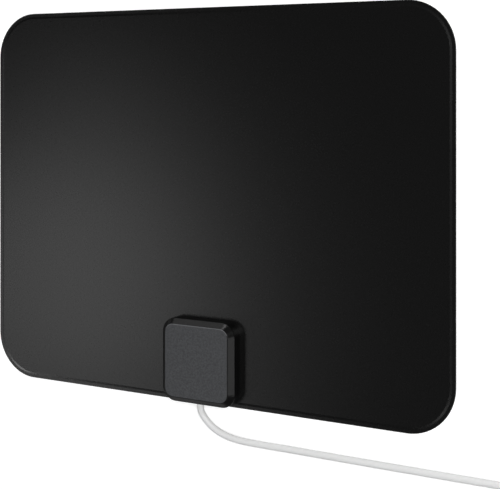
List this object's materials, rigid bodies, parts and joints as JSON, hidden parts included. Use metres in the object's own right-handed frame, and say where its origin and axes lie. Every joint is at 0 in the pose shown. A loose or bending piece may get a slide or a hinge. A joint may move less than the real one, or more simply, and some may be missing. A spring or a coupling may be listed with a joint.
{
  "type": "flat indoor tv antenna",
  "caption": "Thin rectangular laminated sheet antenna with rounded corners, a square bevelled housing on its lower edge and a slim coaxial lead that ends in a screw-on plug.",
  "frame": {"origin": "on the floor under the middle of the sheet, which lies on its back", "axes": "+X along the width, to the right seen from the front; +Y towards the top edge; +Z out of the front face"},
  "size_m": [0.4155, 0.2505, 0.0201],
  "materials": {
    "black_film": "satin black film",
    "housing_plastic": "finely textured charcoal moulding",
    "foil": "bare foil",
    "adhesive": "foam tape",
    "board_laminate": "solder mask",
    "clamp_plastic": "moulded",
    "screw_steel": "zinc plated",
    "contact_metal": "spring bronze",
    "ferrite": "fired, dull",
    "copper_wire": "enamelled copper",
    "chip_ceramic": "fired",
    "lead_jacket": "smooth white vinyl",
    "dielectric": "natural polyethylene",
    "tie_plastic": "soft strap",
    "boot_plastic": "moulded white vinyl",
    "nickel": "nickel plated",
    "pin_brass": "bright"
  },
  "bodies": {
    "antenna": {"front_film": "black_film", "back_film": "black_film", "housing_cover": "housing_plastic", "housing_base": "housing_plastic", "foil_radiator_left": "foil", "foil_radiator_right": "foil", "adhesive_pad": "adhesive", "circuit_board": "board_laminate", "cable_clamp": "clamp_plastic", "board_screws": "screw_steel", "clamp_screws": "screw_steel", "contact_spring_left": "contact_metal", "contact_spring_right": "contact_metal", "balun_core": "ferrite", "balun_primary": "copper_wire", "balun_secondary": "copper_wire", "centre_conductor": "copper_wire", "braid_pigtail": "copper_wire", "chip_capacitors": "chip_ceramic", "cable_jacket_end": "lead_jacket", "signal_cable": "lead_jacket", "cable_coil": "lead_jacket", "cable_tail": "lead_jacket", "cable_dielectric": "dielectric", "plug_insulator": "dielectric", "cable_tie": "tie_plastic", "plug_boot": "boot_plastic", "plug_sleeve": "nickel", "centre_pin": "pin_brass"},
    "nut": {"coupling_nut": "nickel"}
  },
  "joints": [
    {"name": "nut_spin", "type": "hinge", "parent": "antenna", "child": "nut", "pos_m": [0.257, -0.0476, 0.00605], "axis": [0, 1, 0], "continuous": true}
  ]
}
